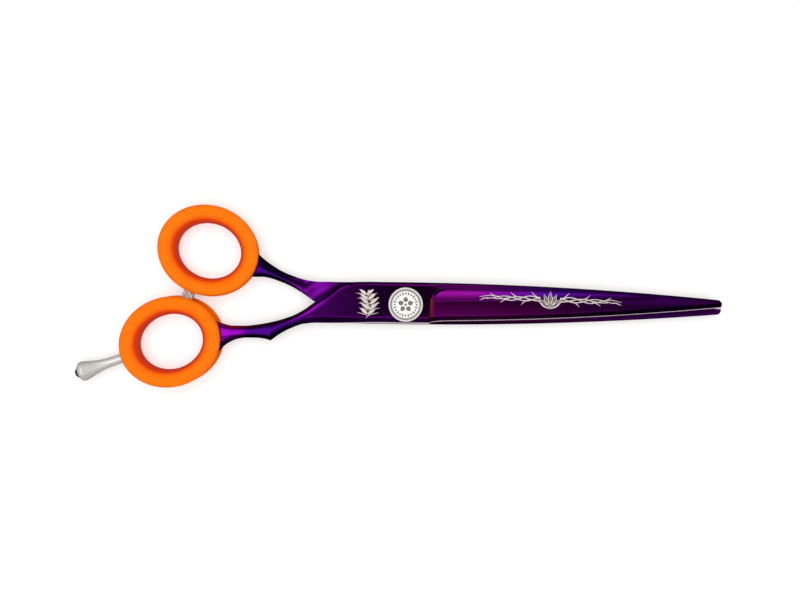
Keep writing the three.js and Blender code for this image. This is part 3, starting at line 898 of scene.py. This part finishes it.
# ---- Ring inserts --------------------------------------------------------------------------
def insert_profile():
    """Half of the section is drawn, up from the middle of the hole's wall, over the flange and
    into the groove for the steel ring. The other half mirrors it."""
    half_height = INSERT_HEIGHT / 2
    shares = [
        (0.0, 0.0), (0.0, 0.25), (0.05, 0.55), (0.14, 0.74), (0.17, 0.82), (0.30, 0.91), (0.50, 0.975),
        (0.70, 1.0), (0.86, 0.955), (0.95, 0.86), (0.995, 0.74), (1.0, 0.64),
    ]
    lip = [(span, share * half_height) for span, share in shares]
    lip = spline(lip + [(0.97, GROOVE + 0.02)], count(8))
    groove = [(0.95, GROOVE), (0.6, GROOVE), (0.24, GROOVE)]
    upper = np.vstack([lip, groove])
    lower = upper[::-1] * np.array([1, -1])
    return np.vstack([upper, lower[:-1]])


def ring_insert(name, centre, side, lean):
    """lean is how far the flange on one side, 1 or -1, has slipped sideways over the steel ring."""
    profile = insert_profile()
    span, height = profile.T
    steps = count(240)
    slipped = smoothstep(side * height, GROOVE - 0.2, GROOVE + 0.3) * smoothstep(span, 0.2, 0.6)
    obj = oval_sweep(name, centre, profile, steps, np.outer(slipped, lean))
    # Painted shade: how far each point lies down into the hole, which darkens and reddens the orange
    # there.
    depth = 1 - smoothstep(span + 0.10 * np.abs(height) / GROOVE, 0.16, 0.68)
    obj.data.attributes.new("painted_hole_shade", "FLOAT", "POINT").data.foreach_set(
        "value", np.tile(depth, steps).astype(np.float32))
    for v in obj.data.vertices:
        v.co.z += MID_PLANE * MM
    return obj


dress(ring_insert("front_insert_silicone", FRONT_RING, -1, (0.2, 0.3)),
      ORANGE, "moving_half", "orange_silicone", "front_ring_insert")
# The back half's oval leans the other way, so it is drawn in that half's frame and turned over.
back_insert = ring_insert("back_insert_silicone", BACK.ring, 1, (-0.8, 0.1))
for v in back_insert.data.vertices:
    v.co.y = 2 * CENTRE_Y * MM - v.co.y
    v.co.z = 2 * MID_PLANE * MM - v.co.z
dress(back_insert, ORANGE, "still_half", "orange_silicone", "back_ring_insert")


# ---- Marks laid on a surface ---------------------------------------------------------------
MARK_HEIGHT = 0.02
MARK_ROOT = -3 * MARK_HEIGHT  # the marks reach this far down into the surface


def marks(name, strokes, height_at):
    """Thin raised strokes. Each is a list of [x, y, half width] that follows height_at(x, y)."""
    points, faces = [], []
    for stroke in strokes:
        stroke = np.array(stroke, float)
        heading = np.gradient(stroke[:, :2], axis=0)
        heading /= np.linalg.norm(heading, axis=1)[:, None] + 1e-9
        side = np.column_stack([-heading[:, 1], heading[:, 0]]) * stroke[:, 2:]
        start = len(points)
        for (x, y), (sx, sy) in zip(stroke[:, :2], side):
            left, right = (x - sx, y - sy), (x + sx, y + sy)
            for (px, py), rise in ((left, MARK_HEIGHT), (right, MARK_HEIGHT),
                                   (right, MARK_ROOT), (left, MARK_ROOT)):
                points.append((px, py, height_at(px, py) + rise))
        for i in range(len(stroke) - 1):
            a = start + 4 * i
            for j in range(4):
                k = (j + 1) % 4
                faces.append((a + j, a + 4 + j, a + 4 + k, a + k))
        last = start + 4 * (len(stroke) - 1)
        faces.append((start + 3, start + 2, start + 1, start))
        faces.append((last, last + 1, last + 2, last + 3))
    obj = mesh_object(name, points, faces)
    face_out(obj)
    return obj


def leaf(root, turn, length, width):
    """A pointed leaf as one stroke, from its root along the direction turn."""
    t = np.linspace(0, 1, 12)
    x = root[0] + t * length * math.cos(turn)
    y = root[1] + t * length * math.sin(turn)
    return np.column_stack([x, y, width / 2 * np.sin(math.pi * t ** 0.8) + 0.01])


def bent(points, width):
    """A curved stroke through points, full in the middle and thin at its ends."""
    line = spline(points, 14)
    t = np.linspace(0, 1, len(line))
    return np.column_stack([line, width / 2 * np.sin(math.pi * np.clip(t, 0.04, 0.96)) ** 0.6])


def front_surface(x, y):
    low, high = cutting_edge(FRONT, x), spine_edge(FRONT, x)
    return MID_PLANE + float(outer_surface(FRONT, x, np.array([y]), low, high)[0])


def blade_flourish():
    """Twisted strands with thorns on both sides of a fan of hollow leaves."""
    strokes = []
    start_x, heart_x, end_x = 23.6, 46.3, 69.2
    middle_y, middle_slope = 2.2, -0.0274
    half_gap = 3.2
    twist = 9.5
    thorns = 6
    leaf_length, leaf_swell, leaf_spread = 5.3, 0.62, 24

    def middle(x):
        return middle_y + middle_slope * (x - heart_x)

    for reach, sign in ((heart_x - half_gap - start_x, -1), (end_x - heart_x - half_gap, 1)):
        for phase, swing in ((0.0, 0.95), (2.3, 0.80), (4.4, 0.60)):
            line = []
            for t in np.linspace(0, 1 - 0.05 * phase, 60):
                x = heart_x + sign * (half_gap + reach * t)
                y = middle(x) + swing * (1 - 0.5 * t) * math.sin(phase + twist * t)
                line.append((x, y, 0.12 * (1 - t) ** 0.4 + 0.03))
            strokes.append(line)
        for i in range(thorns):
            x = heart_x + sign * (5.0 + (reach - 3) * i / (thorns - 1))
            rise = (2.3 - 0.25 * i) * (1 if i % 2 == 0 else -1)
            strokes.append(bent([
                (x - sign * 2.0, middle(x) + math.copysign(0.2, rise)),
                (x - sign * 0.3, middle(x) + 0.4 * rise),
                (x + sign * 1.1, middle(x) + rise)], 0.26))
    root = np.array([heart_x, -0.8])
    for i in range(-2, 3):
        turn = math.radians(90 - leaf_spread * i)
        length = leaf_length - 0.55 * abs(i)
        along = np.array([math.cos(turn), math.sin(turn)])
        beside = np.array([-along[1], along[0]])
        base = root + along * 0.3
        tip = base + along * length
        for side in (-1, 1):
            belly = base + along * length * 0.5 + beside * side * leaf_swell
            strokes.append(bent([base, belly, tip], 0.24))
        strokes.append(bent([base + along * 1.4, base + along * length * 0.8], 0.16))
    for side in (-1, 1):
        strokes.append(bent([root, root + (side * 2.2, 0.9), root + (side * 4.3, 3.2)], 0.3))
    return marks("blade_flourish", strokes, front_surface)


def tang_sprig():
    """A leafy sprig engraved across the tang."""
    strokes = [bent([(-12.6, -4.6), (-11.2, -2.2), (-12.4, 0.6), (-11.6, 4.2)], 0.34)]
    for i in range(5):
        y = -3.2 + 1.55 * i
        x = -12.0 + 0.5 * math.sin(1.1 * i)
        length = 4.1 - 0.5 * abs(i - 1.6)
        for turn, side in ((38, 1), (142, -1)):
            strokes.append(leaf((x, y), math.radians(turn), length, 0.95))
            vein = [(x, y - 0.5), (x + side * 1.6, y + 0.1), (x + side * 3.4, y + 0.5)]
            strokes.append(bent(vein, 0.18))
    strokes.append(leaf((-11.7, 3.1), math.radians(95), 1.5, 0.8))
    return marks("tang_sprig", strokes, front_surface)


def dial_marks():
    """A ring of short bars round a five-petalled rosette."""
    top = box_mm("dial_badge")[1][2] - MARK_HEIGHT
    strokes = []
    bars, petals, petal_root = 24, 5, 0.75
    for i in range(bars):
        turn = 2 * math.pi * i / bars
        inner, outer, half_width = (3.05, 3.95, 0.2) if i % 2 else (3.25, 3.75, 0.28)
        strokes.append([(r * math.cos(turn), r * math.sin(turn), half_width) for r in (inner, outer)])
    for i in range(petals):
        turn = math.radians(90 + 360 / petals * i)
        root = (petal_root * math.cos(turn), petal_root * math.sin(turn))
        strokes.append(leaf(root, turn, 1.8, 1.5))
    strokes.append([(-0.4, 0, 0.05), (-0.28, 0, 0.3), (0, 0, 0.4), (0.28, 0, 0.3), (0.4, 0, 0.05)])
    return marks("dial_marks", strokes, lambda x, y: top)


# ---- Dial ----------------------------------------------------------------------------------
def dial():
    """The adjusting nut, milled round its edge and knurled down in its turned groove."""
    bottom, top = DIAL_LOW[2], DIAL_HIGH[2]
    radius = DIAL_HIGH[0]
    notch_depth, knurl_height = 0.11, 0.05

    def milled(angle, r, h):
        if r > radius - 0.05:
            r -= notch_depth * (0.5 + 0.5 * math.cos(DIAL_NOTCHES * angle)) ** 2
        elif 4.55 < r < 4.8:
            h += knurl_height * math.cos(2 * DIAL_NOTCHES * angle)
        return r, h

    profile = [
        (2.0, bottom + 0.5), (3.95, bottom + 0.5), (3.95, bottom), (radius - 0.3, bottom),
        (radius - 0.08, bottom + 0.1), (radius, bottom + 0.3), (radius, top - 0.35),
        (radius - 0.1, top - 0.15), (radius - 0.3, top - 0.02), (radius - 0.5, top), (4.92, top - 0.01),
        (4.86, top - 0.1), (4.78, top - 0.12), (4.6, top - 0.12), (4.52, top - 0.1), (4.48, top - 0.02),
        (4.44, top - 0.03), (4.42, top - 0.35), (2.0, top - 0.35),
    ]
    return turned("tension_dial_milled", profile, count(16 * DIAL_NOTCHES), 40, milled)


def badge():
    low, high = box_mm("dial_badge")
    radius = high[0]
    profile = [
        (0, low[2]), (radius - 0.02, low[2]), (radius, low[2] + 0.1), (radius, high[2] - 0.18),
        (radius - 0.06, high[2] - 0.1), (radius - 0.18, high[2] - MARK_HEIGHT),
        (0, high[2] - MARK_HEIGHT),
    ]
    return turned("dial_face_plate", profile, 160)


dress(dial(), DIAL_RING, "dial", "bright_steel", "tension_dial")
dress(badge(), FACE, "dial", "bright_steel", "dial_badge")
dress(dial_marks(), MARK, "dial", "dark_stone")
dress(blade_flourish(), ETCHED, "moving_half", "bright_steel")
dress(tang_sprig(), ETCHED, "moving_half", "bright_steel")


# ---- Finger rest, its stone, and the bumper ------------------------------------------------
def finger_rest():
    outline = spline([
        (1.5, 15.35), (1.5, 18), (1.55, 21.3), (1.8, 23.8), (2.2, 25.9), (2.75, 28), (3.12, 29.4),
        (3.12, 30.2), (2.8, 30.85), (2.4, 31.2),
    ], count(10)).tolist()
    profile = [(0, 19.5), (1, 19.2), (1, 15.4), (1.4, 15.35)] + outline + [
        (2.25, 31.22), (2.12, 31.15), (2.1, 30.6), (0, 29.95)]
    return lay_radially(turned("finger_rest_turned", profile, 120), FRONT_RING, REST_TURN)


def faceted_stone():
    profile = [(0, 30.1), (1.95, 31.05), (1.95, 31.25), (1.62, 31.8), (1.05, 32.4), (0, 32.5)]
    return lay_radially(turned("finger_rest_stone", profile, 10, 8), FRONT_RING, REST_TURN)


dress(finger_rest(), SATIN, "moving_half", "bright_steel", "finger_rest")
dress(faceted_stone(), STONE, "moving_half", "dark_stone", "finger_rest_gem")


def bumper_seat():
    """A stud with two rows of cut facets, which stand in each other's gaps."""
    facets, facet_depth, second_row = 12, 0.12, 15.7

    def cut(angle, r, h):
        if r > 1.6:
            half_step = math.pi if h > second_row else 0
            r -= facet_depth * (0.5 + 0.5 * math.cos(facets * angle + half_step))
        return r, h

    profile = [
        (0, 12.5), (0.75, 12.5), (0.75, 14.1), (1.75, 14.1), (2.0, 14.5), (1.7, 15.1), (2.0, 15.7),
        (1.7, 16.3), (2.0, 16.8), (1.7, 17.3), (0.6, 17.3), (0.6, 16.6), (0, 16.6),
    ]
    return lay_radially(turned("bumper_stud", profile, 48, 12, cut), FRONT_RING, BUMPER_TURN)


def bumper_pad():
    dome = spline([(1.55, 17.35), (1.58, 17.7), (1.4, 18.1), (0.9, 18.34), (0.001, 18.4)], count(6))
    profile = [(0, 16.7), (0.5, 16.7), (0.5, 17.35)] + dome[:-1].tolist() + [(0, 18.4)]
    return lay_radially(turned("bumper_tip", profile, 64), FRONT_RING, BUMPER_TURN)


dress(bumper_seat(), CRYSTAL, "moving_half", "polished_steel", "bumper_seat")
dress(bumper_pad(), POLYMER, "moving_half", "white_polymer", "bumper_pad")


# ---- CAD pieces that keep their own shape --------------------------------------------------
def finish_cad(node, material, rounding=0.0):
    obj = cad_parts[node]
    obj.data.materials.clear()
    obj.data.materials.append(material)
    if rounding:
        round_edges(obj, rounding)


finish_cad("pivot_bolt", VIOLET, 0.06)
finish_cad("ride_washer", POLYMER, 0.04)
finish_cad("click_spring", POLISHED, 0.03)
finish_cad("pivot_bushing", BRASS, 0.05)
finish_cad("race_lower", POLISHED, 0.04)
finish_cad("race_upper", POLISHED, 0.04)
finish_cad("bearing_cage", BRASS, 0.02)
finish_cad("finger_rest_stud", SATIN, 0.1)
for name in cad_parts:
    if name.startswith("bearing_ball"):
        finish_cad(name, POLISHED)


# ---- Stage, light and camera ---------------------------------------------------------------
def floor():
    reach = 4000
    corners = [(-reach, -reach, 0), (reach, -reach, 0), (reach, reach, 0), (-reach, reach, 0)]
    obj = mesh_object("floor", corners, [(0, 1, 2, 3)])
    obj.data.materials.append(pale_floor())
    obj.visible_glossy = False


def overhead_light():
    """A broad soft light straight above, which the steel doesn't mirror."""
    data = bpy.data.lights.new("overhead", "AREA")
    data.shape = "SQUARE"
    data.size = 2.0
    data.energy = 33
    obj = bpy.data.objects.new("overhead", data)
    bpy.context.scene.collection.objects.link(obj)
    obj.location = (0, 0, 1.2)
    obj.visible_glossy = False


def surroundings():
    """What the polished steel mirrors: dark overhead, a soft glow past it towards the cutting
    side, more light beyond the handles, and darkness at the horizon."""
    world = bpy.data.worlds.new("studio")
    bpy.context.scene.world = world
    world.use_nodes = True
    world.cycles_visibility.diffuse = False
    n = Nodes(world.node_tree)
    x, y, z = n.parts(n.node("ShaderNodeTexCoord").outputs["Generated"])

    def levels(value, stops):
        """A brightness that follows value through [value, brightness] stops."""
        low, high = stops[0][0], stops[-1][0]
        scaled = n.math("DIVIDE", n.math("SUBTRACT", value, low), high - low)
        return n.ramp(scaled, [((at - low) / (high - low), (level,) * 3) for at, level in stops])

    tilt = n.math("MULTIPLY", n.math("ARCTAN2", y, z), 180 / math.pi)
    across = levels(tilt, [
        (-180, 0.03), (-92, 0.03), (-80, 0.04), (-60, 0.05), (-40, 0.09), (-31, 0.18), (-26, 0.42),
        (-21, 0.78), (-17, 0.50), (-13, 0.22), (-8, 0.10), (0, 0.004), (10, 0.03), (25, 0.08),
        (45, 0.24), (68, 0.26), (80, 0.05), (90, 0.0), (180, 0.0),
    ])
    towards_tip = levels(x, [
        (-1, 0.3), (-0.3, 0.35), (-0.12, 0.35), (-0.04, 1), (0.12, 1), (0.2, 0.55), (0.3, 0.25),
        (1, 0.1),
    ])
    beyond_handles = levels(x, [
        (-1, 0.2), (-0.5, 0.5), (-0.24, 0.95), (-0.19, 0.75), (-0.165, 0.26), (-0.12, 0.14),
        (-0.08, 0.12), (-0.058, 0.08), (-0.042, 0.02), (-0.032, 0.002), (1, 0),
    ])
    near_zenith = levels(z, [(-1, 0), (0.5, 0), (0.9, 1), (1, 1)])
    above_tip = levels(x, [
        (-1, 0), (0.08, 0), (0.15, 0.03), (0.2, 0.08), (0.28, 0.12), (0.4, 0.08), (1, 0),
    ])
    overhead = levels(tilt, [(-180, 0), (-6, 0), (-3, 1), (3, 1), (6, 0), (180, 0)])
    beyond_tip = levels(x, [(-1, 0), (0.75, 0), (0.95, 0.7), (1, 0.7)])
    light = n.math("MAXIMUM", n.math("MULTIPLY", across, towards_tip),
                   n.math("MULTIPLY", beyond_handles, near_zenith))
    light = n.math("MAXIMUM", light, n.math("MULTIPLY", above_tip, overhead))
    background = n.tree.nodes["Background"]
    n.link(n.math("ADD", light, beyond_tip), background.inputs["Color"])


def camera():
    """Straight above, turned a little, so that the closed blades slope down to the right."""
    distance, frame_width = 0.29, 0.2551
    aim_x, aim_y, turn = -0.00182, 0.00144, math.radians(0.75)
    data = bpy.data.cameras.new("camera")
    data.sensor_width = 36
    data.lens = data.sensor_width * distance / frame_width
    data.clip_start, data.clip_end = 0.01, 20
    obj = bpy.data.objects.new("camera", data)
    bpy.context.scene.collection.objects.link(obj)
    obj.location = (aim_x, aim_y, distance + (OUTER_FACE + MID_PLANE) * MM)
    obj.rotation_euler = (0, 0, turn)
    bpy.context.scene.camera = obj


floor()
overhead_light()
surroundings()
camera()
bpy.context.scene.view_settings.view_transform = "Standard"
